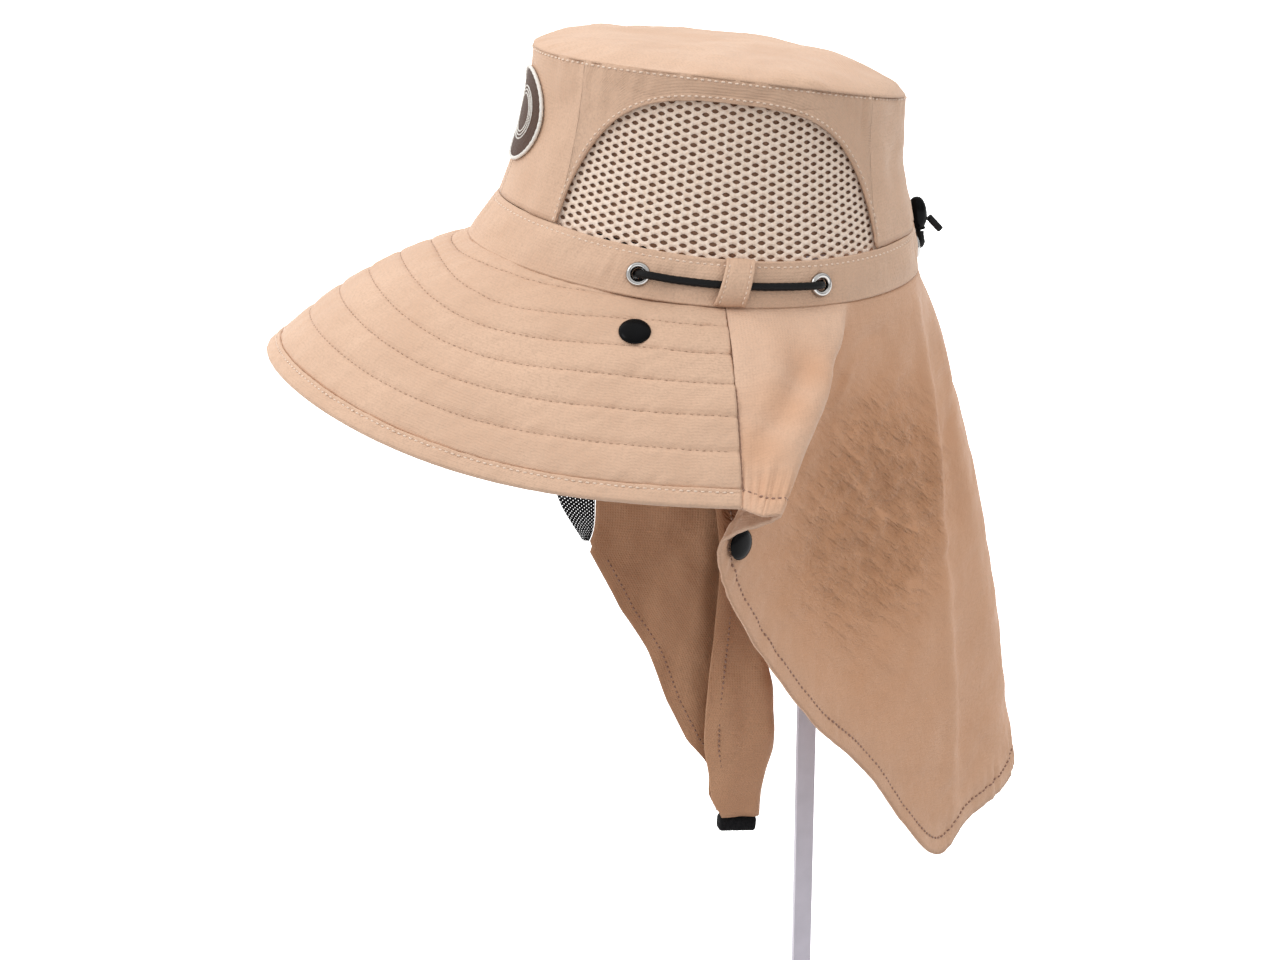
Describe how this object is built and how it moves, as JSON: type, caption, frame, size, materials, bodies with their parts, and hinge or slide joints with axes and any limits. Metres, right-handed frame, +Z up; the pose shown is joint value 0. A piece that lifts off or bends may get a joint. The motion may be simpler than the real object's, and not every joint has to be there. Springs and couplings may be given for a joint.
{
  "type": "ranger hat on a display stand",
  "caption": "Sun hat with a stitched brim, netted crown, band cord and long neck flap, a folded face cover hanging inside, held by a thin post on a round base.",
  "frame": {"origin": "on the floor at the stand base's underside, straight below the middle of the head opening", "axes": "+Z up, the hat's front towards -Y, the wearer's left towards +X"},
  "size_m": [0.3336, 0.3682, 0.532],
  "materials": {
    "nylon": "thin tan nylon, matt with a faint sheen",
    "net": "coarse pale net with open holes",
    "black_net": "fine black net",
    "cord": "black woven elastic cord",
    "snap": "black moulded plastic",
    "tab": "black hook-and-loop tape",
    "chrome": "bright plated eyelets",
    "badge": "dark brown patch",
    "stand": "grey painted metal"
  },
  "bodies": {
    "root": {"crown_top": "nylon", "crown_wall": "nylon", "vent_mesh_left": "net", "vent_mesh_right": "net", "hat_band": "nylon", "drawcord": "cord", "cord_tail": "cord", "cord_lock": "snap", "eyelet_left_front": "chrome", "eyelet_left_rear": "chrome", "eyelet_left_back": "chrome", "eyelet_right_front": "chrome", "eyelet_right_rear": "chrome", "eyelet_right_back": "chrome", "belt_loop_left": "nylon", "belt_loop_right": "nylon", "brim": "nylon", "brim_binding": "nylon", "brim_snap_left": "snap", "brim_snap_right": "snap", "neck_flap": "nylon", "flap_snap_left": "snap", "flap_snap_right": "snap", "face_cover": "nylon", "face_mesh": "black_net", "face_tab": "tab", "front_badge": "badge", "stand_top": "stand", "stand_post": "stand", "stand_base": "stand"}
  },
  "joints": []
}
